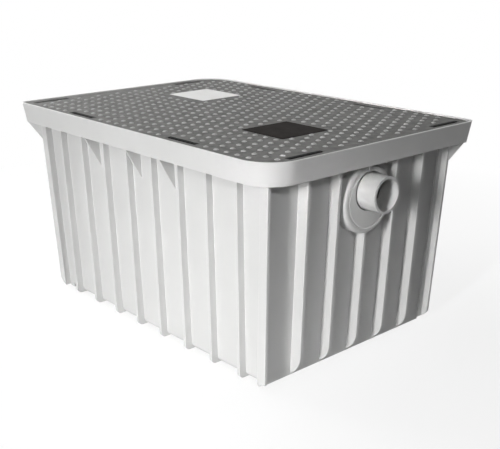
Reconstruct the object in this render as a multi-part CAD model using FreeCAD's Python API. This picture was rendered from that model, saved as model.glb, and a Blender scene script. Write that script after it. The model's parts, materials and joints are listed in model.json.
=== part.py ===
"""Grease separator: ribbed plastic tank, latched non-skid lid, pipe stubs, chutes and baffles.

Millimetres. X runs along the flow with the inlet at +X, Z is up, and the origin is on the
ground under the middle of the tank.
"""
import FreeCAD, Part
import math
import os

from FreeCAD import Vector

# Rim: the tapered band round the top, its lip and the ledge that the lid sits over
RIM_LENGTH = 704.0
RIM_WIDTH = 488.0
TOTAL_HEIGHT = 375.0
WIDE_CORNER = 60.0
TIGHT_CORNER = 16.0
BAND_HEIGHT = 37.5
BAND_TAPER = 7.0
LIP_THICKNESS = 4.0
LEDGE_DROP = 18.5
LEDGE_THICKNESS = 5.0

# Tank body: drafted walls, and ribs that stand proud of them
WALL = 5.0
FLOOR_THICKNESS = 6.0
SIDE_OVERHANG = 26.5
END_OVERHANG = 24.0
SIDE_DRAFT = 11.0
END_DRAFT = 18.0
SIDE_RIB_DEPTH = 13.0
END_RIB_DEPTH = 20.0
RIB_THICKNESS = 6.0
SIDE_RIB_PITCH = 72.0
SIDE_RIB_COUNT = 8
END_RIB_PITCH = 68.5
END_RIB_COUNT = 5
RIB_FAN = 0.969
SIDE_RIB_RADIUS = 9.0
END_RIB_RADIUS = 38.0
FLOOR_EDGE_RADIUS = 12.0
CAVITY_CHAMFER = 5.0
POST_WEB = 4.0
POST_SETBACK = 5.0
FOOT_SIZE = 13.0
FOOT_HEIGHT = 20.0
PEG_BOTTOM = 10.0

# Webs between the rim and the walls
WEB_THICKNESS = 3.5
WEB_POSITIONS = (-137.0, -9.0, 85.0)
WEB_DROP = 95.0
CORNER_WEB_DROP = 71.0
EMBED = 2.0

# Pipe stubs, and the bosses that they pass through
PIPE_DIAMETER = 60.3
PIPE_WALL = 4.0
PIPE_DROP = 84.5
PIPE_REACH = 36.6
NECK_STEP = 1.0
OUTLET_FALL = 8.0
BOSS_DIAMETER = 114.0
BOSS_DROP = 98.7
BOSS_PROUD = 1.7
BOSS_EDGE = 6.0
BOSS_EDGE_STEPS = 3
BOSS_GROOVE_INSET = 9.0
BOSS_GROOVE_WIDTH = 2.0
BOSS_GROOVE_DEPTH = 1.5
PAD_HEIGHT = 6.0
FLANGE_SIZE = 84.0
FLANGE_THICKNESS = 5.0
FLANGE_MARGIN = 2.0
SPIGOT_LENGTH = 31.0
PIPE_CLEARANCE = 0.15

# Chutes on the inner ends of the stubs
CHUTE_SIZE = 76.0
CHUTE_WALL = 5.0
CHUTE_TOP_GAP = 14.0
INLET_CHUTE_END = 160.0
OUTLET_CHUTE_END = 75.0
SOCKET_WALL = 5.0
SOCKET_CLEARANCE = 0.3
SOCKET_LENGTH = 24.0
ORIFICE_PLATE = 3.0
ORIFICE_DIAMETER = 26.0
CAP_THICKNESS = 4.0
CAP_RIM = 9.0
CAP_CLEARANCE = 0.3

# Lift-out baffles, and the guides that hold them
BAFFLE_OFFSET = 110.0
BAFFLE_THICKNESS = 6.0
BAFFLE_TOP_GAP = 12.0
BAFFLE_CLEARANCE = 0.3
GUIDE_WIDTH = 5.0
GUIDE_DEPTH = 12.0
GUIDE_TOP_GAP = 30.0
HANDLE_LENGTH = 90.0
HANDLE_HEIGHT = 24.0
HANDLE_DROP = 16.0
PORT_COUNT = 5
PORT_PITCH = 62.0
PORT_WIDTH = 34.0
PORT_HEIGHT = 70.0
PORT_SILL = 40.0
UNDERFLOW_WIDTH = 260.0
UNDERFLOW_HEIGHT = 70.0

# Lid: a studded plate with a ring below that presses a gasket on the ledge
LID_GAP = 0.8
LID_THICKNESS = 5.0
LID_RECESS = 1.6
RING_WIDTH = 5.0
GASKET_WIDTH = 10.0
GASKET_THICKNESS = 4.0
GASKET_MARGIN = 2.0
SEAT_CLEARANCE = 0.2
LID_RIB_WIDTH = 4.0
LID_RIB_HEIGHT = 7.5
LID_RIB_PITCH = 120.0
LID_RIB_COUNT = 4
STUD_PITCH = 24.0
STUD_ROW_PITCH = 22.3
STUD_BASE = 5.2
STUD_HEIGHT = 1.6
STUD_BORDER = 14.0
STUD_MARGIN = 2.0
LABEL_LENGTH = 107.0
LABEL_WIDTH = 97.0
LABEL_THICKNESS = 0.8
LABEL_PLACE = (-178.0, 77.0)
PLATE_LENGTH = 97.0
PLATE_WIDTH = 102.0
PLATE_THICKNESS = 1.2
PLATE_PLACE = (184.0, -50.0)

# Sliding latches, two on each side, which hook under the ledge
SIDE_LATCH_PLACES = (-158.0, 132.0)
END_LATCH_MARGINS = (94.0, 59.0)
LATCH_TRAVEL = 5.5
LATCH_LENGTH = 80.0
LATCH_THICKNESS = 4.0
LATCH_INSET = 18.0
LATCH_WIDTH = 15.0
LATCH_CLEARANCE = 0.3
WINDOW_LENGTH = 74.0
GRIP_WIDTH = 6.0
GRIP_INSET = 22.5
GRIP_GAP = 0.5
FOOT_INSET = 25.5
FOOT_WIDTH = 6.0
HOOK_LENGTH = 16.0
TOE_LENGTH = 5.0
TOE_HEIGHT = 4.5
TOE_CLEARANCE = 0.6
KEEPER_CLEARANCE = 0.7
RAIL_WIDTH = 5.0
RAIL_LIP = 4.0
RAIL_LIP_HEIGHT = 3.0
RAIL_MARGIN = 2.0

BAND_BOTTOM = TOTAL_HEIGHT - BAND_HEIGHT
LEDGE_TOP = TOTAL_HEIGHT - LEDGE_DROP
LEDGE_BOTTOM = LEDGE_TOP - LEDGE_THICKNESS
PIPE_Z = TOTAL_HEIGHT - PIPE_DROP
BOSS_Z = TOTAL_HEIGHT - BOSS_DROP
PIPE_RADIUS = PIPE_DIAMETER / 2
BORE_RADIUS = PIPE_RADIUS - PIPE_WALL
NECK_RADIUS = PIPE_RADIUS + NECK_STEP
LID_TOP = TOTAL_HEIGHT - LID_RECESS
LID_BOTTOM = LID_TOP - LID_THICKNESS
OVERCUT = 1.0


def half_length(z):
    """Half the length over the end ribs at height z."""
    return RIM_LENGTH / 2 - END_OVERHANG - END_DRAFT * (BAND_BOTTOM - z) / BAND_BOTTOM


def half_width(z):
    """Half the width over the side ribs at height z."""
    return RIM_WIDTH / 2 - SIDE_OVERHANG - SIDE_DRAFT * (BAND_BOTTOM - z) / BAND_BOTTOM


def band_inset(z):
    """How far the band's outer face lies inside the rim's outline at height z."""
    return BAND_TAPER * (TOTAL_HEIGHT - z) / BAND_HEIGHT


def box(x0, x1, y0, y1, z0, z1):
    """A box between two corners."""
    return Part.makeBox(x1 - x0, y1 - y0, z1 - z0, Vector(x0, y0, z0))


def rod(radius, x0, x1, y, z):
    """A cylinder along X."""
    return Part.makeCylinder(radius, x1 - x0, Vector(x0, y, z), Vector(1, 0, 0))


def flat_face(points):
    """A flat face with these corners."""
    return Part.Face(Part.makePolygon(points + points[:1]))


def closed_solid(faces):
    """The solid inside a closed set of faces, of which the first one faces outwards."""
    skin = Part.Compound(faces)
    skin.sewShape()
    return Part.Solid(skin.Shells[0])


def frustum(low, high):
    """The solid between two level rectangles, each given by its X and Y limits and height."""
    x0, x1, y0, y1, z0 = low
    x2, x3, y2, y3, z1 = high
    wedge = Part.makeWedge(x0, z0, -y1, -y3, x2, x1, z1, -y0, -y2, x3)
    wedge.rotate(Vector(0, 0, 0), Vector(1, 0, 0), 90)
    return wedge


def tapered_box(z0, z1, end_depth, side_depth):
    """The drafted body between two heights, set in from the rib planes."""
    ends = []
    for z in (z0, z1):
        x = half_length(z) - end_depth
        y = half_width(z) - side_depth
        ends.append((-x, x, -y, y, z))
    return frustum(*ends)


def edges_at(shape, z, along=None):
    """The shape's straight edges at height z, and along X or Y where that is asked for."""
    found = []
    for edge in shape.Edges:
        bounds = edge.BoundBox
        level = abs(bounds.ZMin - z) < 1e-6 and abs(bounds.ZMax - z) < 1e-6
        lengthwise = bounds.XLength > bounds.YLength
        if level and (along is None or lengthwise == (along == "x")):
            found.append(edge)
    return found


def rim_corners(inset, z):
    """Middle, radius and first angle of each rim corner: two are wide and two are tight."""
    x = RIM_LENGTH / 2
    y = RIM_WIDTH / 2
    found = []
    for index, (side_x, side_y) in enumerate(((1, 1), (-1, 1), (-1, -1), (1, -1))):
        radius = TIGHT_CORNER if side_x == side_y else WIDE_CORNER
        middle = Vector(side_x * (x - radius), side_y * (y - radius), z)
        found.append((middle, radius - inset, 90 * index))
    return found


def on_corner(corner, turn):
    """The point on a rim corner's arc that lies this many degrees along it."""
    middle, radius, angle = corner
    turned = math.radians(angle + turn)
    return middle + Vector(math.cos(turned), math.sin(turned), 0) * radius


def rim_face(inset, z):
    """A flat face with the rim's outline, set in."""
    corners = rim_corners(inset, z)
    edges = []
    for index, corner in enumerate(corners):
        points = [on_corner(corner, turn) for turn in (0, 45, 90)]
        edges.append(Part.Arc(*points).toShape())
        after = corners[(index + 1) % 4]
        edges.append(Part.LineSegment(points[2], on_corner(after, 0)).toShape())
    return Part.Face(Part.Wire(edges))


def rim_block(z0, z1, extra):
    """A solid with the rim's outline and its taper between two heights, set in by extra."""
    insets = [band_inset(z) + extra for z in (z0, z1)]
    faces = [rim_face(insets[1], z1), rim_face(insets[0], z0)]
    low = rim_corners(insets[0], z0)
    high = rim_corners(insets[1], z1)
    for index in range(4):
        middle, radius, angle = low[index]
        cone = Part.makeCone(radius, high[index][1], z1 - z0, middle, Vector(0, 0, 1), 90)
        cone.rotate(middle, Vector(0, 0, 1), angle)
        faces += [face for face in cone.Faces if face.Surface.TypeId == "Part::GeomCone"]
        after = (index + 1) % 4
        base = [on_corner(low[index], 90), on_corner(low[after], 0)]
        faces.append(flat_face(base + [on_corner(high[after], 0), on_corner(high[index], 90)]))
    return closed_solid(faces)


def rib_plate(top, bottom, across_x):
    """A rib plate whose middle leans from one place at the ground to another at the band."""
    reach = RIM_LENGTH
    ends = []
    for z in (0.0, LEDGE_BOTTOM + EMBED):
        middle = bottom + (top - bottom) * z / BAND_BOTTOM
        low = middle - RIB_THICKNESS / 2
        high = middle + RIB_THICKNESS / 2
        if across_x:
            ends.append((low, high, -reach, reach, z))
        else:
            ends.append((-reach, reach, low, high, z))
    return frustum(*ends)


def ribs():
    """Side ribs and end ribs, rounded at the foot, and the four corner posts."""
    top = LEDGE_BOTTOM + EMBED
    side_form = tapered_box(0.0, top, 0.0, 0.0)
    side_form = side_form.makeFillet(SIDE_RIB_RADIUS, edges_at(side_form, 0.0, "x"))
    end_form = tapered_box(0.0, top, 0.0, 0.0)
    end_form = end_form.makeFillet(END_RIB_RADIUS, edges_at(end_form, 0.0, "y"))
    shapes = []
    for index in range(SIDE_RIB_COUNT):
        middle = (index - (SIDE_RIB_COUNT - 1) / 2) * SIDE_RIB_PITCH
        shapes.append(rib_plate(middle, RIB_FAN * middle, True).common(side_form))
    for index in range(END_RIB_COUNT):
        middle = (index - (END_RIB_COUNT - 1) / 2) * END_RIB_PITCH
        shapes.append(rib_plate(middle, RIB_FAN * middle, False).common(end_form))
    post_form = side_form.common(end_form).common(tapered_box(0.0, top, POST_SETBACK, 0.0))
    return shapes + corner_posts(post_form, top)


def corners_of(shape, end_depth, side_depth, top):
    """What is left of a drafted shape at its four upright corners."""
    low = -OVERCUT
    high = top + OVERCUT
    lengthwise = tapered_box(low, high, end_depth, -RIM_LENGTH)
    crosswise = tapered_box(low, high, -RIM_LENGTH, side_depth)
    return shape.cut([lengthwise, crosswise]).Solids


def corner_posts(form, top):
    """Angled posts that join the rib planes at the corners, with a peg under the two wide ones."""
    low = -OVERCUT
    high = top + OVERCUT
    bay = tapered_box(low, high, -RIM_LENGTH, RIB_THICKNESS)
    bay = bay.cut(tapered_box(low, high, END_RIB_DEPTH - POST_WEB, -RIM_LENGTH))
    shapes = []
    for post in corners_of(form, END_RIB_DEPTH + EMBED, SIDE_RIB_DEPTH + EMBED, top):
        shapes += post.cut(bay).Solids
    peg_form = tapered_box(PEG_BOTTOM, top, POST_SETBACK, 0.0)
    for peg in corners_of(peg_form, POST_SETBACK + RIB_THICKNESS, RIB_THICKNESS, top):
        middle = peg.CenterOfMass
        if middle.x * middle.y < 0:
            shapes.append(peg)
    return shapes


def corner_feet():
    """Small square feet under the corners of the walls."""
    form = tapered_box(0.0, FOOT_HEIGHT, END_RIB_DEPTH, SIDE_RIB_DEPTH)
    return corners_of(form, END_RIB_DEPTH + FOOT_SIZE, SIDE_RIB_DEPTH + FOOT_SIZE, FOOT_HEIGHT)


def webs():
    """Thin webs from the band to the side walls, and across the two tight corners."""
    shapes = []
    top = LEDGE_BOTTOM + EMBED
    tip = TOTAL_HEIGHT - WEB_DROP
    low, high = [band_inset(z) + LIP_THICKNESS / 2 for z in (BAND_BOTTOM, top)]
    edge = RIM_WIDTH / 2
    root = half_width(tip) - SIDE_RIB_DEPTH
    foot = root - EMBED
    outline = [(foot, top), (edge - high, top), (edge - low, BAND_BOTTOM), (root, tip), (foot, tip)]
    for side in (-1, 1):
        for x in WEB_POSITIONS:
            points = [Vector(x - WEB_THICKNESS / 2, side * y, z) for y, z in outline]
            shapes.append(flat_face(points).extrude(Vector(WEB_THICKNESS, 0, 0)))
    tip = TOTAL_HEIGHT - CORNER_WEB_DROP
    for side in (-1, 1):
        corner = Vector(side * (half_length(tip) - POST_SETBACK), side * half_width(tip), 0)
        out = Vector(side, side, 0).normalize()
        across = Vector(-out.y, out.x, 0) * (WEB_THICKNESS / 2)
        middle = Vector(side * (RIM_LENGTH / 2 - TIGHT_CORNER), side * (edge - TIGHT_CORNER), 0)
        reach = (middle - corner).dot(out) + TIGHT_CORNER
        foot = -RIB_THICKNESS
        outline = [(foot, top), (reach - high, top), (reach - low, BAND_BOTTOM), (0.0, tip), (foot, tip)]
        points = [corner + out * s + Vector(0, 0, z) - across for s, z in outline]
        shapes.append(flat_face(points).extrude(across * 2))
    return shapes


def boss_face():
    """How far from the middle the boss's outer face stands."""
    return half_length(BOSS_Z) + BOSS_PROUD


def pad_face():
    """How far from the middle the inner pad's face stands."""
    return half_length(PIPE_Z) - END_RIB_DEPTH - WALL - PAD_HEIGHT


def at_end(shape, end):
    """The shape for the inlet end, or turned about Z and lowered for the outlet end."""
    if end > 0:
        return shape
    turned = shape.copy()
    turned.rotate(Vector(0, 0, 0), Vector(0, 0, 1), 180)
    turned.translate(Vector(0, 0, -OUTLET_FALL))
    return turned


def boss():
    """The round boss outside the end wall, its edge rounded off in steps."""
    face = boss_face()
    inner = BOSS_DIAMETER / 2 - BOSS_EDGE
    start = half_length(BOSS_Z) - END_RIB_DEPTH - WALL
    profile = [(start, 0.0), (start, BOSS_DIAMETER / 2)]
    for step in range(BOSS_EDGE_STEPS + 1):
        angle = math.pi / 2 * step / BOSS_EDGE_STEPS
        profile.append((face - BOSS_EDGE + BOSS_EDGE * math.sin(angle), inner + BOSS_EDGE * math.cos(angle)))
    profile.append((face, 0.0))
    section = flat_face([Vector(x, 0, BOSS_Z + radius) for x, radius in profile])
    return section.revolve(Vector(0, 0, BOSS_Z), Vector(1, 0, 0), 360)


def boss_groove():
    """The ring groove in a boss's outer face."""
    outer = BOSS_DIAMETER / 2 - BOSS_GROOVE_INSET
    floor = boss_face() - BOSS_GROOVE_DEPTH
    groove = rod(outer, floor, boss_face() + OVERCUT, 0, BOSS_Z)
    return groove.cut(rod(outer - BOSS_GROOVE_WIDTH, floor, boss_face() + OVERCUT, 0, BOSS_Z))


def pad():
    """The flat seat inside the end wall for the stub's flange."""
    half = FLANGE_SIZE / 2 + FLANGE_MARGIN
    wall = half_length(PIPE_Z) - END_RIB_DEPTH
    return box(pad_face(), wall, -half, half, PIPE_Z - half, PIPE_Z + half)


def pipe_hole():
    """The hole for the stub through the boss, the wall and the pad."""
    return rod(NECK_RADIUS + PIPE_CLEARANCE, pad_face() - OVERCUT, boss_face() + OVERCUT, 0, PIPE_Z)


def latch_sides():
    """Name, turn and rim distance of each side, and where along it the latches sit."""
    x = RIM_LENGTH / 2
    y = RIM_WIDTH / 2
    first, second = SIDE_LATCH_PLACES
    ends = (END_LATCH_MARGINS[0] - y, y - END_LATCH_MARGINS[1])
    return [
        ("front", 0, y, (first, second)),
        ("inlet", 90, x, ends),
        ("back", 180, y, (-second, -first)),
        ("outlet", 270, x, ends),
    ]


def on_sides(shape):
    """Copies of a shape drawn at the rim's edge, X along it and Y inwards, at each latch."""
    placed = {}
    for name, turn, distance, places in latch_sides():
        for index, along in enumerate(places):
            copy = shape.copy()
            copy.translate(Vector(along, -distance, 0))
            copy.rotate(Vector(0, 0, 0), Vector(0, 0, 1), turn)
            placed[f"{name}_{index + 1}"] = copy
    return placed


def keeper_slot():
    """The slot in the ledge that a latch's hook drops through."""
    half = HOOK_LENGTH / 2 + KEEPER_CLEARANCE
    near = FOOT_INSET - max(TOE_LENGTH, LATCH_TRAVEL) - KEEPER_CLEARANCE
    far = FOOT_INSET + FOOT_WIDTH + KEEPER_CLEARANCE
    return box(-half, half, near, far, LEDGE_BOTTOM - OVERCUT, LEDGE_TOP + OVERCUT)


def guide_bars():
    """Upright guides on the side walls, a pair for each baffle."""
    top = LEDGE_BOTTOM - GUIDE_TOP_GAP
    inset = WALL + GUIDE_DEPTH
    core = tapered_box(0.0, TOTAL_HEIGHT, -RIM_LENGTH, SIDE_RIB_DEPTH + inset)
    shapes = []
    gap = BAFFLE_THICKNESS / 2 + BAFFLE_CLEARANCE
    for middle in (-BAFFLE_OFFSET, BAFFLE_OFFSET):
        for start in (middle - gap - GUIDE_WIDTH, middle + gap):
            bar = box(start, start + GUIDE_WIDTH, -RIM_WIDTH / 2, RIM_WIDTH / 2, 0.0, top)
            shapes.append(bar.cut(core))
    return shapes


def tank():
    """The moulded tank: shell, ribs, rim, webs, bosses, pads and baffle guides in one piece."""
    top = LEDGE_BOTTOM + EMBED
    shell = tapered_box(0.0, top, END_RIB_DEPTH, SIDE_RIB_DEPTH)
    shell = shell.makeFillet(FLOOR_EDGE_RADIUS, edges_at(shell, 0.0))

    band = rim_block(BAND_BOTTOM, TOTAL_HEIGHT, 0.0)
    band = band.cut(rim_block(BAND_BOTTOM - OVERCUT, TOTAL_HEIGHT + OVERCUT, LIP_THICKNESS))
    ledge_edge = band_inset(LEDGE_BOTTOM) + LIP_THICKNESS / 2
    ledge = rim_face(ledge_edge, LEDGE_BOTTOM).extrude(Vector(0, 0, LEDGE_THICKNESS))

    solids = [band, ledge] + ribs() + corner_feet() + webs()
    for end in (-1, 1):
        solids.append(at_end(boss(), end))
    body = shell.multiFuse(solids)

    depth = WALL + SIDE_RIB_DEPTH
    cavity = tapered_box(FLOOR_THICKNESS, TOTAL_HEIGHT, WALL + END_RIB_DEPTH, depth)
    cavity = cavity.makeChamfer(CAVITY_CHAMFER, edges_at(cavity, FLOOR_THICKNESS))
    kept = guide_bars() + [at_end(pad(), end) for end in (-1, 1)]
    cavity = cavity.cut(Part.Compound(kept))
    holes = [cavity]
    for end in (-1, 1):
        holes += [at_end(pipe_hole(), end), at_end(boss_groove(), end)]
    holes += list(on_sides(keeper_slot()).values())
    return body.cut(holes).removeSplitter()


def spigot_end():
    """How far from the middle a stub's inner end stands."""
    return pad_face() - FLANGE_THICKNESS - SPIGOT_LENGTH


def stub():
    """A pipe stub: plain end outside, a thicker neck through the wall, square flange and spigot inside."""
    tip = boss_face() + PIPE_REACH
    half = FLANGE_SIZE / 2
    pipe = rod(PIPE_RADIUS, boss_face(), tip, 0, PIPE_Z)
    neck = rod(NECK_RADIUS, spigot_end(), boss_face(), 0, PIPE_Z)
    flange = box(pad_face() - FLANGE_THICKNESS, pad_face(), -half, half, PIPE_Z - half, PIPE_Z + half)
    bore = rod(BORE_RADIUS, spigot_end() - OVERCUT, tip + OVERCUT, 0, PIPE_Z)
    return pipe.multiFuse([neck, flange]).cut(bore)


def orifice_plate():
    """The flow-control plate held between the inlet stub and its chute."""
    start = spigot_end() - ORIFICE_PLATE
    body = rod(NECK_RADIUS, start, spigot_end(), 0, PIPE_Z)
    return body.cut(rod(ORIFICE_DIAMETER / 2, start - OVERCUT, spigot_end() + OVERCUT, 0, PIPE_Z))


def chute(seat, lower_end, closed):
    """A square down-chute with a block whose round socket takes the spigot, its stop at the seat."""
    half = CHUTE_SIZE / 2
    top = LEDGE_BOTTOM - CHUTE_TOP_GAP
    near = seat - CHUTE_SIZE
    socket = NECK_RADIUS + SOCKET_CLEARANCE
    body = box(near, seat, -half, half, lower_end, top)
    block = socket + SOCKET_WALL
    low = PIPE_Z - block
    body = body.fuse(box(seat - CHUTE_WALL, seat + SOCKET_LENGTH, -block, block, low, PIPE_Z + block))
    inside = half - CHUTE_WALL
    ceiling = top - CHUTE_WALL if closed else top + OVERCUT
    holes = [
        box(near + CHUTE_WALL, seat - CHUTE_WALL, -inside, inside, lower_end - OVERCUT, ceiling),
        rod(socket, seat, seat + SOCKET_LENGTH + OVERCUT, 0, PIPE_Z),
        rod(BORE_RADIUS, seat - CHUTE_WALL - OVERCUT, seat + OVERCUT, 0, PIPE_Z),
    ]
    return body.cut(holes)


def chute_cap(seat):
    """The push-in cap that closes the top of the outlet chute."""
    half = CHUTE_SIZE / 2
    top = LEDGE_BOTTOM - CHUTE_TOP_GAP
    near = seat - CHUTE_SIZE
    step = CHUTE_WALL + CAP_CLEARANCE
    plate = box(near, seat, -half, half, top, top + CAP_THICKNESS)
    plug = box(near + step, seat - step, step - half, half - step, top - CAP_RIM, top)
    inner = step + CHUTE_WALL
    hollow = box(near + inner, seat - inner, inner - half, half - inner, top - CAP_RIM - OVERCUT, top)
    return plate.fuse(plug.cut(hollow)).removeSplitter()


def baffle(openings):
    """A lift-out baffle plate that stands in its guides, with a hand hole near the top."""
    top = LEDGE_BOTTOM - BAFFLE_TOP_GAP
    depth = SIDE_RIB_DEPTH + WALL + BAFFLE_CLEARANCE
    form = tapered_box(FLOOR_THICKNESS, top, -RIM_LENGTH, depth)
    form = form.makeChamfer(CAVITY_CHAMFER + BAFFLE_CLEARANCE, edges_at(form, FLOOR_THICKNESS, "x"))
    half = BAFFLE_THICKNESS / 2
    plate = box(-half, half, -RIM_WIDTH / 2, RIM_WIDTH / 2, FLOOR_THICKNESS, top).common(form)
    hand = top - HANDLE_DROP
    grip = HANDLE_LENGTH / 2
    handle = box(-half - OVERCUT, half + OVERCUT, -grip, grip, hand - HANDLE_HEIGHT, hand)
    return plate.cut([handle] + openings)


def inlet_ports():
    """The row of openings low in the inlet baffle."""
    low = FLOOR_THICKNESS + PORT_SILL
    shapes = []
    for index in range(PORT_COUNT):
        middle = (index - (PORT_COUNT - 1) / 2) * PORT_PITCH
        start = middle - PORT_WIDTH / 2
        end = start + PORT_WIDTH
        shapes.append(box(-BAFFLE_THICKNESS, BAFFLE_THICKNESS, start, end, low, low + PORT_HEIGHT))
    return shapes


def underflow():
    """The wide opening at the foot of the outlet baffle."""
    half = UNDERFLOW_WIDTH / 2
    high = FLOOR_THICKNESS + UNDERFLOW_HEIGHT
    return [box(-BAFFLE_THICKNESS, BAFFLE_THICKNESS, -half, half, FLOOR_THICKNESS - OVERCUT, high)]


def moved(shape, x):
    """A copy moved along X."""
    copy = shape.copy()
    copy.translate(Vector(x, 0, 0))
    return copy


def frame_ring(x, y, width, z0, z1):
    """A rectangular ring with its inner half sizes given."""
    outer = box(-x - width, x + width, -y - width, y + width, z0, z1)
    return outer.cut(box(-x, x, -y, y, z0 - OVERCUT, z1 + OVERCUT))


def gasket_inside():
    """Half sizes of the gasket's inner edge, just outside the tank's mouth."""
    x = half_length(LEDGE_TOP) - END_RIB_DEPTH - WALL + GASKET_MARGIN
    y = half_width(LEDGE_TOP) - SIDE_RIB_DEPTH - WALL + GASKET_MARGIN
    return x, y


def gasket():
    """The lid's gasket, a flat ring on the ledge."""
    low = LEDGE_TOP + SEAT_CLEARANCE
    return frame_ring(*gasket_inside(), GASKET_WIDTH, low, low + GASKET_THICKNESS)


def stud_places(outline_inset):
    """Middles of the tread studs: staggered rows, clear of the windows and the two plates."""
    reach_x = RIM_LENGTH / 2 - outline_inset - STUD_BORDER
    reach_y = RIM_WIDTH / 2 - outline_inset - STUD_BORDER
    clear = STUD_BASE + STUD_MARGIN
    blocked = []
    for (x, y), length, width in (
            (LABEL_PLACE, LABEL_LENGTH, LABEL_WIDTH), (PLATE_PLACE, PLATE_LENGTH, PLATE_WIDTH)):
        blocked.append((x - length / 2, x + length / 2, y - width / 2, y + width / 2))
    for window in on_sides(lid_window()).values():
        bounds = window.BoundBox
        blocked.append((bounds.XMin, bounds.XMax, bounds.YMin, bounds.YMax))
    corner = WIDE_CORNER - outline_inset
    places = []
    rows = int(reach_y / STUD_ROW_PITCH)
    columns = int(reach_x / STUD_PITCH)
    for row in range(-rows, rows + 1):
        shift = STUD_PITCH / 2 if row % 2 else 0.0
        for column in range(-columns, columns + 1):
            x = column * STUD_PITCH + shift
            y = row * STUD_ROW_PITCH
            over_x = max(abs(x) - (reach_x + STUD_BORDER - corner), 0.0)
            over_y = max(abs(y) - (reach_y + STUD_BORDER - corner), 0.0)
            outside = math.hypot(over_x, over_y) > corner - STUD_BORDER
            taken = any(a - clear < x < b + clear and c - clear < y < d + clear for a, b, c, d in blocked)
            if not outside and not taken:
                places.append((x, y))
    return places


def with_studs(plain, places):
    """The lid with its flat top face replaced by one that carries three-sided pointed tread studs."""
    top = [face for face in plain.Faces if abs(face.CenterOfMass.z - LID_TOP) < 1e-6][0]
    faces = [face for face in plain.Faces if not face.isSame(top)]
    wires = [top.OuterWire] + [wire for wire in top.Wires if not wire.isSame(top.OuterWire)]
    for x, y in places:
        tip = Vector(x, y, LID_TOP + STUD_HEIGHT)
        base = []
        for turn in (0, 120, 240):
            angle = math.radians(turn)
            out = Vector(math.cos(angle), math.sin(angle), 0) * STUD_BASE
            base.append(Vector(x, y, LID_TOP) + out)
        wires.append(Part.makePolygon(base[:1] + base[::-1]))
        for index in range(3):
            faces.append(flat_face([base[index], base[(index + 1) % 3], tip]))
    return closed_solid(faces + [Part.Face(wires)])


def lid_window():
    """The window in the lid over a latch, as long as its grip and as wide as its travel."""
    near = GRIP_INSET - LATCH_TRAVEL - GRIP_GAP
    far = GRIP_INSET + GRIP_WIDTH + GRIP_GAP
    half = WINDOW_LENGTH / 2
    return box(-half, half, near, far, LID_BOTTOM - OVERCUT, TOTAL_HEIGHT + OVERCUT)


def latch_rails():
    """The pair of hooked rails under the lid that carry a latch."""
    shapes = []
    near = LATCH_INSET + RAIL_MARGIN
    far = LATCH_INSET + LATCH_WIDTH
    plate_low = LID_BOTTOM - LATCH_CLEARANCE - LATCH_THICKNESS
    lip_top = plate_low - LATCH_CLEARANCE
    lip_low = lip_top - RAIL_LIP_HEIGHT
    inner = LATCH_LENGTH / 2 + LATCH_CLEARANCE
    for sign in (-1, 1):
        ends = sorted((sign * inner, sign * (inner + RAIL_WIDTH)))
        shapes.append(box(ends[0], ends[1], near, far, lip_low, LID_BOTTOM + EMBED))
        ends = sorted((sign * (inner - RAIL_LIP), sign * (inner + RAIL_WIDTH)))
        shapes.append(box(ends[0], ends[1], near, far, lip_low, lip_top))
    return Part.Compound(shapes)


def lid():
    """The lid: studded plate, gasket ring, cross ribs and latch rails in one moulding."""
    inset = LIP_THICKNESS + band_inset(LID_BOTTOM) + LID_GAP
    plate = rim_face(inset, LID_BOTTOM).extrude(Vector(0, 0, LID_THICKNESS))
    x, y = gasket_inside()
    shift = (GASKET_WIDTH - RING_WIDTH) / 2
    ring_low = LEDGE_TOP + SEAT_CLEARANCE + GASKET_THICKNESS
    top = LID_BOTTOM + EMBED
    solids = [frame_ring(x + shift, y + shift, RING_WIDTH, ring_low, top)]
    for index in range(LID_RIB_COUNT):
        middle = (index - (LID_RIB_COUNT - 1) / 2) * LID_RIB_PITCH
        low = LID_BOTTOM - LID_RIB_HEIGHT
        start = middle - LID_RIB_WIDTH / 2
        solids.append(box(start, start + LID_RIB_WIDTH, -y - shift - EMBED, y + shift + EMBED, low, top))
    for rails in on_sides(latch_rails()).values():
        solids += rails.Solids
    plain = plate.multiFuse(solids).cut(list(on_sides(lid_window()).values())).removeSplitter()
    return with_studs(plain, stud_places(inset))


def latch():
    """A latch: plate under the lid, grip in the window, and a hook through the ledge."""
    half = LATCH_LENGTH / 2
    plate_top = LID_BOTTOM - LATCH_CLEARANCE
    plate_low = plate_top - LATCH_THICKNESS
    toe_top = LEDGE_BOTTOM - TOE_CLEARANCE
    toe_low = toe_top - TOE_HEIGHT
    grip = WINDOW_LENGTH / 2 - GRIP_GAP
    hook = HOOK_LENGTH / 2
    body = box(-half, half, LATCH_INSET, LATCH_INSET + LATCH_WIDTH, plate_low, plate_top)
    return body.multiFuse([
        box(-grip, grip, GRIP_INSET, GRIP_INSET + GRIP_WIDTH, plate_low, LID_TOP),
        box(-hook, hook, FOOT_INSET, FOOT_INSET + FOOT_WIDTH, toe_low, plate_top),
        box(-hook, hook, FOOT_INSET - TOE_LENGTH, FOOT_INSET + FOOT_WIDTH, toe_low, toe_top),
    ]).removeSplitter()


def flat_plate(place, length, width, thickness):
    """A thin plate laid on the lid."""
    x, y = place
    return box(x - length / 2, x + length / 2, y - width / 2, y + width / 2, LID_TOP, LID_TOP + thickness)


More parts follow.
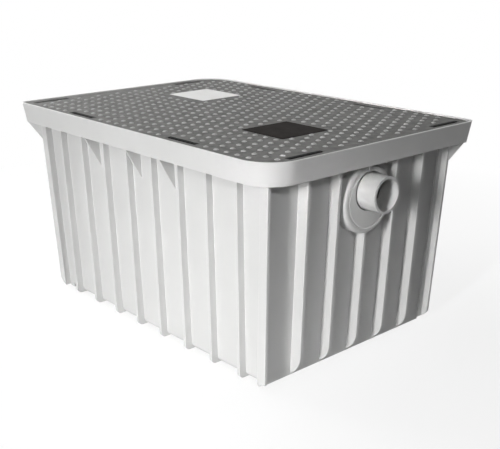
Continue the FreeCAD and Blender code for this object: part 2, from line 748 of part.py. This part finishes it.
def pieces():
    """Every piece of the separator by its node's name."""
    inlet_seat = spigot_end() - ORIFICE_PLATE
    outlet_seat = spigot_end()
    found = {
        "tank": tank(),
        "inlet_stub": stub(),
        "outlet_stub": at_end(stub(), -1),
        "flow_control_plate": orifice_plate(),
        "inlet_chute": chute(inlet_seat, INLET_CHUTE_END, True),
        "outlet_chute": at_end(chute(outlet_seat, OUTLET_CHUTE_END, False), -1),
        "outlet_chute_cap": at_end(chute_cap(outlet_seat), -1),
        "inlet_baffle": moved(baffle(inlet_ports()), BAFFLE_OFFSET),
        "outlet_baffle": moved(baffle(underflow()), -BAFFLE_OFFSET),
        "lid": lid(),
        "lid_gasket": gasket(),
        "lid_label": flat_plate(LABEL_PLACE, LABEL_LENGTH, LABEL_WIDTH, LABEL_THICKNESS),
        "lid_plate": flat_plate(PLATE_PLACE, PLATE_LENGTH, PLATE_WIDTH, PLATE_THICKNESS),
    }
    for name, shape in on_sides(latch()).items():
        found[f"latch_{name}"] = shape
    return found


os.makedirs("parts", exist_ok=True)
for node, shape in pieces().items():
    shape.exportStep(f"parts/{node}.step")
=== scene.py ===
"""Looks of the grease separator: softened mouldings, tread studs, plates, finishes and studio."""

import json
import logging
import math
from dataclasses import dataclass
from enum import Enum

import bmesh
import bpy
from mathutils import Matrix, Vector


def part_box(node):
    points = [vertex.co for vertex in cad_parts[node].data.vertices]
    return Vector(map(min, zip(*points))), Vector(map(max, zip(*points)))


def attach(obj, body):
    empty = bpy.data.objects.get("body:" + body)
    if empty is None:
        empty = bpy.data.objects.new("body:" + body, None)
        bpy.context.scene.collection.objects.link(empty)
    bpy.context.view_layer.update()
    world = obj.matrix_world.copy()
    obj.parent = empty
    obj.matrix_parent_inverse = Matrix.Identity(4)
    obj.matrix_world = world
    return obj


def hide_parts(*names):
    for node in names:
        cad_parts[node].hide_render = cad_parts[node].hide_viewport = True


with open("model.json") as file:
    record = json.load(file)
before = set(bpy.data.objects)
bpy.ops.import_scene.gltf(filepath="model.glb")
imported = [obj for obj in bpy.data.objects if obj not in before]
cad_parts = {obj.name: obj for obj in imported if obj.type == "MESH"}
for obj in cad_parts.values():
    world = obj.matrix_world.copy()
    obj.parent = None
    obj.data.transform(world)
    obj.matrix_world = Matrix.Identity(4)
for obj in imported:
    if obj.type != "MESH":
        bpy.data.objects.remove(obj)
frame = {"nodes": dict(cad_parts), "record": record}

LOG = logging.getLogger("grease_separator")
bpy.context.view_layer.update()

SIDES = ("front", "inlet", "back", "outlet")
LATCHES = tuple(f"latch_{side}_{number}" for side in SIDES for number in (1, 2))
STUBS = ("inlet_stub", "outlet_stub")
INNER_PIECES = ("inlet_chute", "outlet_chute", "outlet_chute_cap", "inlet_baffle", "outlet_baffle")

WHITE = (1.0, 1.0, 1.0, 1.0)


class Body(Enum):
    """The moving body that the tread studs ride on."""

    LID = "lid_body"


class Edge(Enum):
    """Radii of the pieces' rounded edges, in metres."""

    TANK = 0.0009
    STUB = 0.0008
    INNER = 0.0006
    LATCH = 0.0005
    FILM = 0.0003


def body_of(node: str) -> str:
    """Finds the body that a CAD node belongs to.

    Args:
        node: Name of the CAD node.

    Returns:
        The body's name.
    """
    for name, members in frame["record"]["behaviour"]["bodies"].items():
        if node in members:
            return name
    raise KeyError(node)


class Graph:
    """A short way to add and join shader nodes in a material.

    A Mix node has sockets of one name for each kind of data, so its colour sockets go by number.
    """

    MIX_FIRST = 6
    MIX_SECOND = 7
    MIX_RESULT = 2

    def __init__(self, name: str) -> None:
        """Starts an empty material with a principled shader.

        Args:
            name: Name of the material.
        """
        self.material = bpy.data.materials.new(name)
        self.material.use_nodes = True
        self.tree = self.material.node_tree
        self.shader = self.tree.nodes["Principled BSDF"]
        self.place = self.tree.nodes.new("ShaderNodeTexCoord").outputs["Object"]

    def add(self, kind: str, **inputs: object) -> bpy.types.Node:
        """Adds a node, and sets or links its inputs.

        Args:
            kind: The node's type name.
            inputs: Socket names, with spaces written as underscores, and values or sockets.

        Returns:
            The new node.
        """
        node = self.tree.nodes.new(kind)
        for name, value in inputs.items():
            self.put(node.inputs[name.replace("_", " ")], value)
        return node

    def put(self, socket: bpy.types.NodeSocket, value: object) -> None:
        """Links a socket, or sets its value.

        Args:
            socket: The input socket.
            value: Another node's output, or a plain value.
        """
        if isinstance(value, bpy.types.NodeSocket):
            self.tree.links.new(value, socket)
        else:
            socket.default_value = value

    def noise(self, size: float, detail: float,
              stretch: tuple[float, float, float] = (1, 1, 1)) -> bpy.types.NodeSocket:
        """Adds noise in object space.

        Args:
            size: Size of one feature, in metres.
            detail: Number of finer layers.
            stretch: Scale of the space along each axis.

        Returns:
            The noise's factor output.
        """
        mapping = self.add("ShaderNodeMapping", Vector=self.place, Scale=stretch)
        node = self.add("ShaderNodeTexNoise", Vector=mapping.outputs[0], Scale=1 / size, Detail=detail)
        return node.outputs[0]

    def ramp(self, value: bpy.types.NodeSocket, low: float, high: float,
             to_low: float, to_high: float) -> bpy.types.NodeSocket:
        """Maps a range of values onto another one.

        Args:
            value: The incoming value.
            low: Start of the incoming range.
            high: End of the incoming range.
            to_low: Start of the new range.
            to_high: End of the new range.

        Returns:
            The mapped value.
        """
        node = self.add("ShaderNodeMapRange", Value=value, From_Min=low, From_Max=high,
                        To_Min=to_low, To_Max=to_high)
        node.clamp = True
        return node.outputs[0]

    def blend(self, share: bpy.types.NodeSocket, first: object, second: object) -> bpy.types.NodeSocket:
        """Mixes two colours.

        Args:
            share: How much of the second colour shows.
            first: A colour or a socket.
            second: A colour or a socket.

        Returns:
            The mixed colour.
        """
        node = self.tree.nodes.new("ShaderNodeMix")
        node.data_type = "RGBA"
        self.put(node.inputs["Factor"], share)
        self.put(node.inputs[self.MIX_FIRST], first)
        self.put(node.inputs[self.MIX_SECOND], second)
        return node.outputs[self.MIX_RESULT]


def shaded(colour: tuple[float, float, float], factor: float) -> tuple[float, float, float, float]:
    """Gives a lighter or darker colour with alpha.

    Args:
        colour: The colour to start from.
        factor: What each channel is multiplied by.

    Returns:
        The colour, each channel at most 1.
    """
    return (*(min(1.0, channel * factor) for channel in colour), 1.0)


@dataclass(frozen=True)
class MouldedPlastic:
    """A moulded plastic: drifting shade, fine grain, a few scuffs and uneven gloss.

    Attributes:
        name: Name of the material.
        colour: Its middle colour.
        roughness: Its middle roughness.
        drift: How far the shade drifts to either side, as a share of the colour.
        grain: Size of one grain, in metres.
        depth: Depth of the grain, in metres.
        scuffs: How strongly the scuffs show.
        specular: Strength of the mirroring.
        cloud: Size of one lighter or darker cloud, in metres.
        cloud_layers: Finer layers in the clouds.
        middle: The part of a noise's values that is spread over the whole range.
        streak: Size of one scuff across, in metres.
        streak_layers: Finer layers in the scuffs.
        streak_stretch: Scale of the scuffs' space, small along their length.
        streak_span: Noise values where scuffs start and are full.
        scuff_shade: Shade of a full scuff, as a share of the colour.
        gloss: Size of one smoother or rougher patch, in metres.
        gloss_layers: Finer layers in the patches.
        gloss_swing: How far the roughness swings to either side.
        grain_layers: Finer layers in the grain.
        grain_strength: Strength of the grain's bump.
    """

    name: str
    colour: tuple[float, float, float]
    roughness: float
    drift: float
    grain: float
    depth: float
    scuffs: float
    specular: float = 0.4
    cloud: float = 0.11
    cloud_layers: float = 4.0
    middle: tuple[float, float] = (0.3, 0.7)
    streak: float = 0.006
    streak_layers: float = 6.0
    streak_stretch: tuple[float, float, float] = (1.0, 1.0, 0.06)
    streak_span: tuple[float, float] = (0.66, 0.74)
    scuff_shade: float = 0.72
    gloss: float = 0.03
    gloss_layers: float = 5.0
    gloss_swing: float = 0.07
    grain_layers: float = 3.0
    grain_strength: float = 0.6

    def build(self) -> bpy.types.Material:
        """Makes the material.

        Returns:
            The new material.
        """
        graph = Graph(self.name)
        cloud = graph.ramp(graph.noise(self.cloud, self.cloud_layers), *self.middle, 0.0, 1.0)
        base = graph.blend(cloud, shaded(self.colour, 1 - self.drift), shaded(self.colour, 1 + self.drift))
        streak = graph.noise(self.streak, self.streak_layers, self.streak_stretch)
        marks = graph.ramp(streak, *self.streak_span, 0.0, self.scuffs)
        scuffed = graph.blend(marks, base, shaded(self.colour, self.scuff_shade))
        graph.put(graph.shader.inputs["Base Color"], scuffed)
        smoothest, roughest = self.roughness - self.gloss_swing, self.roughness + self.gloss_swing
        gloss = graph.ramp(graph.noise(self.gloss, self.gloss_layers), *self.middle, smoothest, roughest)
        graph.put(graph.shader.inputs["Roughness"], gloss)
        grain = graph.noise(self.grain, self.grain_layers)
        bump = graph.add("ShaderNodeBump", Height=grain, Distance=self.depth, Strength=self.grain_strength)
        graph.put(graph.shader.inputs["Normal"], bump.outputs[0])
        graph.shader.inputs["Specular IOR Level"].default_value = self.specular
        return graph.material


class Finish(Enum):
    """The finishes of the separator's pieces."""

    TANK = MouldedPlastic(
        "tank_grey_moulding", (0.56, 0.56, 0.555), roughness=0.4, drift=0.02, grain=0.0016,
        depth=0.00012, scuffs=0.1, specular=0.2)
    TANK_EDGE = MouldedPlastic(
        "tank_grey_worn_edge", (0.62, 0.62, 0.615), roughness=0.42, drift=0.02, grain=0.0016,
        depth=0.00008, scuffs=0.05)
    LID = MouldedPlastic(
        "lid_grey_moulding", (0.135, 0.135, 0.13), roughness=0.7, drift=0.24, grain=0.004,
        depth=0.0004, scuffs=0.3, specular=0.12, cloud=0.014)
    # The studs' lighter colour is partly wear and partly painted sheen: the light their domes catch is
    # painted into it.
    STUD = MouldedPlastic(
        "lid_stud_wear_and_painted_sheen", (0.31, 0.31, 0.303), roughness=0.4, drift=0.10, grain=0.0012,
        depth=0.0001, scuffs=0.1)
    LATCH = MouldedPlastic(
        "latch_black_moulding", (0.008, 0.008, 0.008), roughness=0.8, drift=0.15, grain=0.001,
        depth=0.0001, scuffs=0.1, specular=0.1)
    INNER = MouldedPlastic(
        "inner_grey_moulding", (0.46, 0.46, 0.445), roughness=0.5, drift=0.03, grain=0.0014,
        depth=0.0001, scuffs=0.15)
    RUBBER = MouldedPlastic(
        "seal_black_rubber", (0.022, 0.022, 0.022), roughness=0.75, drift=0.2, grain=0.0008,
        depth=0.00015, scuffs=0.05, specular=0.25)
    LABEL = MouldedPlastic(
        "label_pale_film", (0.72, 0.72, 0.71), roughness=0.45, drift=0.05, grain=0.004,
        depth=0.00005, scuffs=0.2)
    PLATE = MouldedPlastic(
        "plate_dark_film", (0.011, 0.009, 0.008), roughness=0.8, drift=0.3, grain=0.003,
        depth=0.00006, scuffs=0.1, specular=0.05)


class Paint:
    """Builds each finish once and puts it on CAD nodes."""

    def __init__(self) -> None:
        """Starts with no finish built."""
        self.built: dict[Finish, bpy.types.Material] = {}

    def material(self, finish: Finish) -> bpy.types.Material:
        """Gives a finish's material, made at its first use.

        Args:
            finish: The finish that is asked for.

        Returns:
            The material.
        """
        if finish not in self.built:
            self.built[finish] = finish.value.build()
        return self.built[finish]

    def dress(self, finish: Finish, *nodes: str) -> None:
        """Puts a finish on CAD nodes.

        Args:
            finish: The finish.
            nodes: Names of the CAD nodes.
        """
        for node in nodes:
            for slot in frame["nodes"][node].material_slots:
                slot.material = self.material(finish)
            LOG.info("%s wears %s", node, finish.name)


def new_object(name: str, mesh: bpy.types.Mesh) -> bpy.types.Object:
    """Links a mesh to the scene as an object at the origin.

    Args:
        name: The object's name.
        mesh: Its mesh.

    Returns:
        The new object.
    """
    thing = bpy.data.objects.new(name, mesh)
    bpy.context.scene.collection.objects.link(thing)
    return thing


def settle(thing: bpy.types.Object) -> None:
    """Turns an object's modifiers into plain mesh.

    Args:
        thing: The object, which keeps its name and loses its modifiers.
    """
    bpy.context.view_layer.update()
    mesh = bpy.data.meshes.new_from_object(thing.evaluated_get(bpy.context.evaluated_depsgraph_get()))
    thing.modifiers.clear()
    thing.data = mesh


@dataclass
class SoftMoulding:
    """A CAD node's shape with small rounded edges, as it leaves the mould.

    Attributes:
        node: Name of the CAD node.
        finish: Finish of its faces.
        edge_finish: Finish of its rounded edges.
        slot: Name of its material slot; not used.
        edge: Radius of the rounded edges, in metres.
        segments: Faces across a rounded edge.
        bluntest: Least turn from face to face at an edge that is rounded, in degrees.
        shortest: Least length of a rounded edge, in radii.
        ground: Height that an edge has to lie above to be rounded, in metres.
        sliver: Length below which an edge counts as none, in metres.
        weld: Distance within which points are merged, in metres.
        flat: Turn from face to face within which they count as one flat, in degrees.
        crease: Turn from face to face above which their edge is shaded sharp, in degrees.
        face_weight: How much large faces count in the shading.
    """

    node: str
    finish: Finish
    edge_finish: Finish
    slot: str
    edge: float
    segments: int = 2
    bluntest: float = 35.0
    shortest: float = 4.0
    ground: float = 0.0005
    sliver: float = 0.00001
    weld: float = 0.000002
    flat: float = 0.4
    crease: float = 32.0
    face_weight: int = 100

    def reshape(self, work: bmesh.types.BMesh) -> None:
        """Leaves the shape as it is; a moulding with a form of its own changes it here.

        Args:
            work: The mesh that is being made.
        """

    def merged(self) -> bpy.types.Mesh:
        """Copies the node's mesh with its points merged, its flats made whole and its edges marked.

        An edge is marked to be rounded where it is sharp, long enough and clear of the ground.

        Returns:
            The new mesh.
        """
        mesh = frame["nodes"][self.node].data.copy()
        work = bmesh.new()
        work.from_mesh(mesh)
        bmesh.ops.remove_doubles(work, verts=work.verts, dist=self.weld)
        flat = math.radians(self.flat)
        bmesh.ops.dissolve_limit(work, angle_limit=flat, verts=work.verts, edges=work.edges)
        self.reshape(work)
        weight = work.edges.layers.float.new("bevel_weight_edge")
        for edge in work.edges:
            sharp = edge.is_manifold and edge.calc_face_angle() > math.radians(self.bluntest)
            long_enough = edge.calc_length() > self.shortest * self.edge
            clear = min(vertex.co.z for vertex in edge.verts) > self.ground
            edge[weight] = 1.0 if sharp and long_enough and clear else 0.0
        work.to_mesh(mesh)
        work.free()
        return mesh

    def clean(self, mesh: bpy.types.Mesh) -> None:
        """Takes out the slivers that rounding leaves where edges meet.

        Args:
            mesh: The rounded mesh, which is changed in place.
        """
        work = bmesh.new()
        work.from_mesh(mesh)
        bmesh.ops.dissolve_degenerate(work, dist=self.sliver, edges=work.edges)
        work.to_mesh(mesh)
        work.free()

    def build(self, paint: Paint) -> bpy.types.Object:
        """Makes the piece that stands for the node.

        Args:
            paint: Where its finishes come from.

        Returns:
            The finished piece.
        """
        mesh = self.merged()
        mesh.materials.clear()
        for finish in (self.finish, self.edge_finish):
            mesh.materials.append(paint.material(finish))
        thing = new_object(f"{self.node}_moulding", mesh)
        soften = thing.modifiers.new("soften", "BEVEL")
        soften.width = self.edge
        soften.segments = self.segments
        soften.limit_method = "WEIGHT"
        soften.use_clamp_overlap = False
        soften.material = len(mesh.materials) - 1
        settle(thing)
        self.clean(thing.data)
        thing.data.shade_smooth()
        thing.data.set_sharp_from_angle(angle=math.radians(self.crease))
        level = thing.modifiers.new("level", "WEIGHTED_NORMAL")
        level.keep_sharp = True
        level.weight = self.face_weight
        settle(thing)
        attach(thing, body_of(self.node))
        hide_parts(self.node)
        LOG.info("%s has %d faces", thing.name, len(thing.data.polygons))
        return thing


@dataclass
class TankMoulding(SoftMoulding):
    """The tank's moulding, whose end walls run down square to the ground.

    Attributes:
        foot: Radius at the foot of the CAD node's end walls, in metres.
        floor: Height below which all points within the foot's reach belong to it, in metres.
        slack: How far a point may lie off the radius, in metres.
        upright: Least share of an end wall's normal that runs along the tank.
    """

    foot: float = 0.012
    floor: float = 0.0055
    slack: float = 0.001
    upright: float = 0.99

    def reshape(self, work: bmesh.types.BMesh) -> None:
        """Moves the rounded foot of each end wall out to the wall's plane.

        Args:
            work: The mesh that is being made.
        """
        for side in (-1, 1):
            facing = [face for face in work.faces if face.normal.x * side > self.upright]
            ends = [face for face in facing if face.calc_center_median().x * side > 0]
            wall = max(ends, key=lambda face: face.calc_area())
            middle, normal = wall.calc_center_median(), wall.normal.copy()
            for vertex in work.verts:
                depth = -(vertex.co - middle).dot(normal)
                low = vertex.co.z
                bend = math.hypot(self.foot - depth, self.foot - low) - self.foot
                rounded = low < self.floor or (low < self.foot and abs(bend) < self.slack)
                if rounded and 0 < depth < self.foot + self.slack / 2:
                    vertex.co.x += depth / normal.x


@dataclass
class TreadStuds:
    """The round studs on the lid, one over each stud of the CAD lid.

    Attributes:
        base: Radius of a stud at the lid, in metres.
        shoulder: Radius where its side turns into its dome, in metres.
        crown: Radius of its flat top, in metres.
        rise: Height of the shoulder, in metres.
        height: Height of the top, in metres.
        cad_height: Height of a CAD stud's point, in metres.
        sides: Number of a stud's sides.
        point_slack: How far below the highest point a CAD stud's point may lie, in metres.
        digits: Decimals of a metre that tell two points apart.
        weld: Distance within which a stud's own points are merged, in metres.
    """

    base: float = 0.0046
    shoulder: float = 0.0035
    crown: float = 0.0018
    rise: float = 0.0011
    height: float = 0.0018
    cad_height: float = 0.0016
    sides: int = 10
    point_slack: float = 0.0001
    digits: int = 4
    weld: float = 0.00001

    def places(self) -> list[Vector]:
        """Finds the middle of each CAD stud from its point.

        Returns:
            The middles, on the lid's flat top.
        """
        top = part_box("lid")[1].z
        found: dict[tuple[float, float], Vector] = {}
        for vertex in frame["nodes"]["lid"].data.vertices:
            if vertex.co.z > top - self.point_slack:
                key = (round(vertex.co.y, self.digits), round(vertex.co.x, self.digits))
                found[key] = Vector((vertex.co.x, vertex.co.y, top - self.cad_height))
        return [found[key] for key in sorted(found)]

    def tree(self, material: bpy.types.Material) -> bpy.types.NodeTree:
        """Builds the geometry nodes that set a stud on each point.

        Args:
            material: The studs' material.

        Returns:
            The node tree.
        """
        tree = bpy.data.node_groups.new("tread_studs", "GeometryNodeTree")
        tree.interface.new_socket("Points", in_out="INPUT", socket_type="NodeSocketGeometry")
        for name in ("Base radius", "Shoulder radius", "Crown radius", "Shoulder height", "Height"):
            tree.interface.new_socket(name, in_out="INPUT", socket_type="NodeSocketFloat")
        tree.interface.new_socket("Studs", in_out="OUTPUT", socket_type="NodeSocketGeometry")
        nodes, link = tree.nodes, tree.links.new
        entry = nodes.new("NodeGroupInput")
        leave = nodes.new("NodeGroupOutput")
        skirt, dome = (nodes.new("GeometryNodeMeshCone") for _ in range(2))
        opened = []
        for cone, inner in ((skirt, "Top"), (dome, "Bottom")):
            cone.fill_type = "NGON"
            cone.inputs["Vertices"].default_value = self.sides
            cut = nodes.new("GeometryNodeDeleteGeometry")
            cut.domain = "FACE"
            link(cone.outputs["Mesh"], cut.inputs["Geometry"])
            link(cone.outputs[inner], cut.inputs["Selection"])
            opened.append(cut.outputs["Geometry"])
        link(entry.outputs["Shoulder radius"], skirt.inputs["Radius Top"])
        link(entry.outputs["Base radius"], skirt.inputs["Radius Bottom"])
        link(entry.outputs["Shoulder height"], skirt.inputs["Depth"])
        link(entry.outputs["Crown radius"], dome.inputs["Radius Top"])
        link(entry.outputs["Shoulder radius"], dome.inputs["Radius Bottom"])
        rest = nodes.new("ShaderNodeMath")
        rest.operation = "SUBTRACT"
        link(entry.outputs["Height"], rest.inputs[0])
        link(entry.outputs["Shoulder height"], rest.inputs[1])
        link(rest.outputs[0], dome.inputs["Depth"])
        lift = nodes.new("ShaderNodeCombineXYZ")
        link(entry.outputs["Shoulder height"], lift.inputs["Z"])
        raised = nodes.new("GeometryNodeTransform")
        link(opened[1], raised.inputs["Geometry"])
        link(lift.outputs[0], raised.inputs["Translation"])
        both = nodes.new("GeometryNodeJoinGeometry")
        link(opened[0], both.inputs[0])
        link(raised.outputs[0], both.inputs[0])
        weld = nodes.new("GeometryNodeMergeByDistance")
        weld.inputs["Distance"].default_value = self.weld
        link(both.outputs[0], weld.inputs["Geometry"])
        spread = nodes.new("GeometryNodeInstanceOnPoints")
        link(entry.outputs["Points"], spread.inputs["Points"])
        link(weld.outputs[0], spread.inputs["Instance"])
        real = nodes.new("GeometryNodeRealizeInstances")
        link(spread.outputs[0], real.inputs[0])
        smooth = nodes.new("GeometryNodeSetShadeSmooth")
        link(real.outputs[0], smooth.inputs["Geometry"])
        wear = nodes.new("GeometryNodeSetMaterial")
        wear.inputs["Material"].default_value = material
        link(smooth.outputs[0], wear.inputs["Geometry"])
        link(wear.outputs[0], leave.inputs[0])
        return tree

    def build(self, paint: Paint) -> bpy.types.Object:
        """Makes all the studs as one piece.

        Args:
            paint: Where the finish comes from.

        Returns:
            The finished piece.
        """
        places = self.places()
        mesh = bpy.data.meshes.new("stud_places")
        mesh.from_pydata(places, [], [])
        thing = new_object("lid_tread_studs", mesh)
        tree = self.tree(paint.material(Finish.STUD))
        spread = thing.modifiers.new("spread", "NODES")
        spread.node_group = tree
        sizes = {"Base radius": self.base, "Shoulder radius": self.shoulder, "Crown radius": self.crown,
                 "Shoulder height": self.rise, "Height": self.height}
        for item in tree.interface.items_tree:
            if item.name in sizes:
                spread[item.identifier] = sizes[item.name]
        settle(thing)
        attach(thing, Body.LID.value)
        LOG.info("%d tread studs", len(places))
        return thing


def looked_at(tree: bpy.types.NodeTree) -> bpy.types.NodeSocket:
    """Tells rays from the camera, straight or by a mirror or glass, from rays that carry light.

    Args:
        tree: The node tree that the test is added to.

    Returns:
        A value of 1 for a ray that is looked along, else 0.
    """
    path = tree.nodes.new("ShaderNodeLightPath")
    found = path.outputs["Is Camera Ray"]
    for name in ("Is Glossy Ray", "Is Transmission Ray"):
        either = tree.nodes.new("ShaderNodeMath")
        either.operation = "MAXIMUM"
        tree.links.new(found, either.inputs[0])
        tree.links.new(path.outputs[name], either.inputs[1])
        found = either.outputs[0]
    return found


@dataclass(frozen=True)
class Lamp:
    """A soft lamp.

    Attributes:
        name: The lamp's name.
        place: Where it hangs, in metres.
        aim: The point that it faces, in metres.
        size: Its width and height, in metres.
        power: Its power, in watts.
        spread: The whole angle of its beam, in degrees.
    """

    name: str
    place: tuple[float, float, float]
    aim: tuple[float, float, float]
    size: tuple[float, float]
    power: float
    spread: float = 180.0

    def hang(self) -> None:
        """Adds the lamp to the scene."""
        data = bpy.data.lights.new(self.name, "AREA")
        data.shape = "RECTANGLE"
        data.size, data.size_y = self.size
        data.energy = self.power
        data.spread = math.radians(self.spread)
        lamp = bpy.data.objects.new(self.name, data)
        bpy.context.scene.collection.objects.link(lamp)
        lamp.location = self.place
        lamp.rotation_euler = (Vector(self.aim) - Vector(self.place)).to_track_quat("-Z", "Y").to_euler()


@dataclass
class Studio:
    """The pale floor, the soft lights and the camera.

    Attributes:
        aim: The point that the camera faces, in metres.
        azimuth: The camera's turn from the front towards the inlet end, in degrees.
        elevation: The camera's angle above the ground, in degrees.
        roll: The camera's tilt about its own line of sight, in degrees.
        distance: From the aim to the camera, in metres.
        focal_pixels: Focal length, in pixels of the photograph.
        image_width: Width of the photograph, in pixels.
        sensor_width: Width of the camera's sensor, in millimetres.
        view_reach: How far the camera sees, in metres.
        ambient: Strength of the surroundings as a light.
        floor_bounce: Shade of the floor to rays that carry light.
        floor_shade: Shade of the floor to rays that are looked along.
        floor_glow: Share of plain white in the floor near the object.
        floor_fade: Distances from the middle where the share starts to grow and is whole, in metres.
        floor_reach: Half the floor's width, in metres.
        floor_roughness: Roughness of the floor.
        lamps: The lamps.
    """

    aim: tuple[float, float, float] = (0.0, 0.0384, 0.1483)
    azimuth: float = 48.04
    elevation: float = 17.85
    roll: float = -0.15
    distance: float = 1.6797
    focal_pixels: float = 869.7
    image_width: float = 500.0
    sensor_width: float = 36.0
    view_reach: float = 50.0
    ambient: float = 0.03
    floor_bounce: float = 0.45
    floor_shade: float = 0.9
    floor_glow: float = 0.8
    floor_fade: tuple[float, float] = (0.45, 1.3)
    floor_reach: float = 12.0
    floor_roughness: float = 0.9
    lamps: tuple[Lamp, ...] = (
        Lamp("key", place=(1.38, -4.2, 1.1), aim=(0.12, -0.2, 0.0), size=(0.35, 2.0),
             power=8.1, spread=30.0),
        Lamp("fill", place=(1.68, -1.41, 1.28), aim=(0.4, -0.55, 0.1), size=(0.15, 0.15),
             power=1.15, spread=36.0),
        Lamp("top", place=(-1.3, -0.35, 1.05), aim=(-0.2, 0.0, 0.3), size=(1.0, 1.0),
             power=25.0),
        Lamp("corner", place=(1.2, -2.7, 0.95), aim=(0.34, -0.25, 0.4), size=(0.1, 0.1),
             power=0.033, spread=6.0),
        Lamp("back", place=(0.3, 4.0, 1.0), aim=(0.0, 0.2, 0.1), size=(0.6, 0.6),
             power=2.8, spread=28.0),
    )

    def floor(self) -> None:
        """Lays the pale floor, which shows near white and keeps the object's shadow."""
        mesh = bpy.data.meshes.new("floor")
        reach = self.floor_reach
        corners = [(-reach, -reach, 0), (reach, -reach, 0), (reach, reach, 0), (-reach, reach, 0)]
        mesh.from_pydata(corners, [], [(0, 1, 2, 3)])
        thing = new_object("floor", mesh)
        graph = Graph("floor_white")
        seen = looked_at(graph.tree)
        dim, pale = [(shade, shade, shade, 1.0) for shade in (self.floor_bounce, self.floor_shade)]
        graph.put(graph.shader.inputs["Base Color"], graph.blend(seen, dim, pale))
        graph.shader.inputs["Roughness"].default_value = self.floor_roughness
        glow = graph.add("ShaderNodeEmission", Color=WHITE, Strength=1.0)
        away = graph.add("ShaderNodeVectorMath", Vector=graph.place)
        away.operation = "LENGTH"
        near, far = self.floor_fade
        share = graph.add("ShaderNodeMath")
        share.operation = "MULTIPLY"
        graph.put(share.inputs[0], seen)
        graph.put(share.inputs[1], graph.ramp(away.outputs["Value"], near, far, self.floor_glow, 1.0))
        mix = graph.tree.nodes.new("ShaderNodeMixShader")
        graph.put(mix.inputs[0], share.outputs[0])
        graph.put(mix.inputs[1], graph.shader.outputs[0])
        graph.put(mix.inputs[2], glow.outputs[0])
        graph.put(graph.tree.nodes["Material Output"].inputs["Surface"], mix.outputs[0])
        mesh.materials.append(graph.material)

    def world(self) -> None:
        """Makes the surroundings white to the camera and dimmer as a light."""
        world = bpy.data.worlds.new("studio")
        bpy.context.scene.world = world
        world.use_nodes = True
        nodes, link = world.node_tree.nodes, world.node_tree.links.new
        light = nodes["Background"]
        light.inputs["Color"].default_value = WHITE
        light.inputs["Strength"].default_value = self.ambient
        white = nodes.new("ShaderNodeBackground")
        white.inputs["Color"].default_value = WHITE
        mix = nodes.new("ShaderNodeMixShader")
        link(looked_at(world.node_tree), mix.inputs[0])
        link(light.outputs[0], mix.inputs[1])
        link(white.outputs[0], mix.inputs[2])
        link(mix.outputs[0], nodes["World Output"].inputs["Surface"])

    def camera(self) -> None:
        """Sets the camera where the photograph was taken from."""
        turn, lift = math.radians(self.azimuth), math.radians(self.elevation)
        back = Vector((math.sin(turn) * math.cos(lift), -math.cos(turn) * math.cos(lift), math.sin(lift)))
        right = (-back).cross(Vector((0, 0, 1))).normalized()
        up = right.cross(-back)
        tilt = Matrix.Rotation(math.radians(self.roll), 3, back)
        axes = tilt @ Matrix((right, up, back)).transposed()
        data = bpy.data.cameras.new("camera")
        data.sensor_fit = "HORIZONTAL"
        data.sensor_width = self.sensor_width
        data.lens = self.focal_pixels / self.image_width * data.sensor_width
        data.clip_end = self.view_reach
        camera = bpy.data.objects.new("camera", data)
        bpy.context.scene.collection.objects.link(camera)
        camera.matrix_world = Matrix.Translation(Vector(self.aim) + back * self.distance) @ axes.to_4x4()
        bpy.context.scene.camera = camera

    def build(self) -> None:
        """Sets up the floor, the lights and the camera."""
        self.floor()
        self.world()
        for lamp in self.lamps:
            lamp.hang()
        self.camera()
        bpy.context.scene.view_settings.view_transform = "Standard"


def main() -> None:
    """Dresses the separator and sets up its studio."""
    logging.basicConfig(level=logging.INFO, format="%(name)s: %(message)s")
    paint = Paint()
    TankMoulding("tank", Finish.TANK, Finish.TANK_EDGE, "tank_plastic", Edge.TANK.value).build(paint)
    for stub in STUBS:
        SoftMoulding(stub, Finish.TANK, Finish.TANK_EDGE, "tank_plastic", Edge.STUB.value).build(paint)
    for latch in LATCHES:
        SoftMoulding(latch, Finish.LATCH, Finish.LATCH, "dark_plastic", Edge.LATCH.value).build(paint)
    SoftMoulding("lid_label", Finish.LABEL, Finish.LABEL, "label_film", Edge.FILM.value).build(paint)
    SoftMoulding("lid_plate", Finish.PLATE, Finish.PLATE, "dark_plate", Edge.FILM.value).build(paint)
    for inner in INNER_PIECES:
        SoftMoulding(inner, Finish.INNER, Finish.INNER, "inner_plastic", Edge.INNER.value).build(paint)
    paint.dress(Finish.LID, "lid")
    paint.dress(Finish.LATCH, "flow_control_plate")
    paint.dress(Finish.RUBBER, "lid_gasket")
    TreadStuds().build(paint)
    Studio().build()


if __name__ == "__main__":
    main()
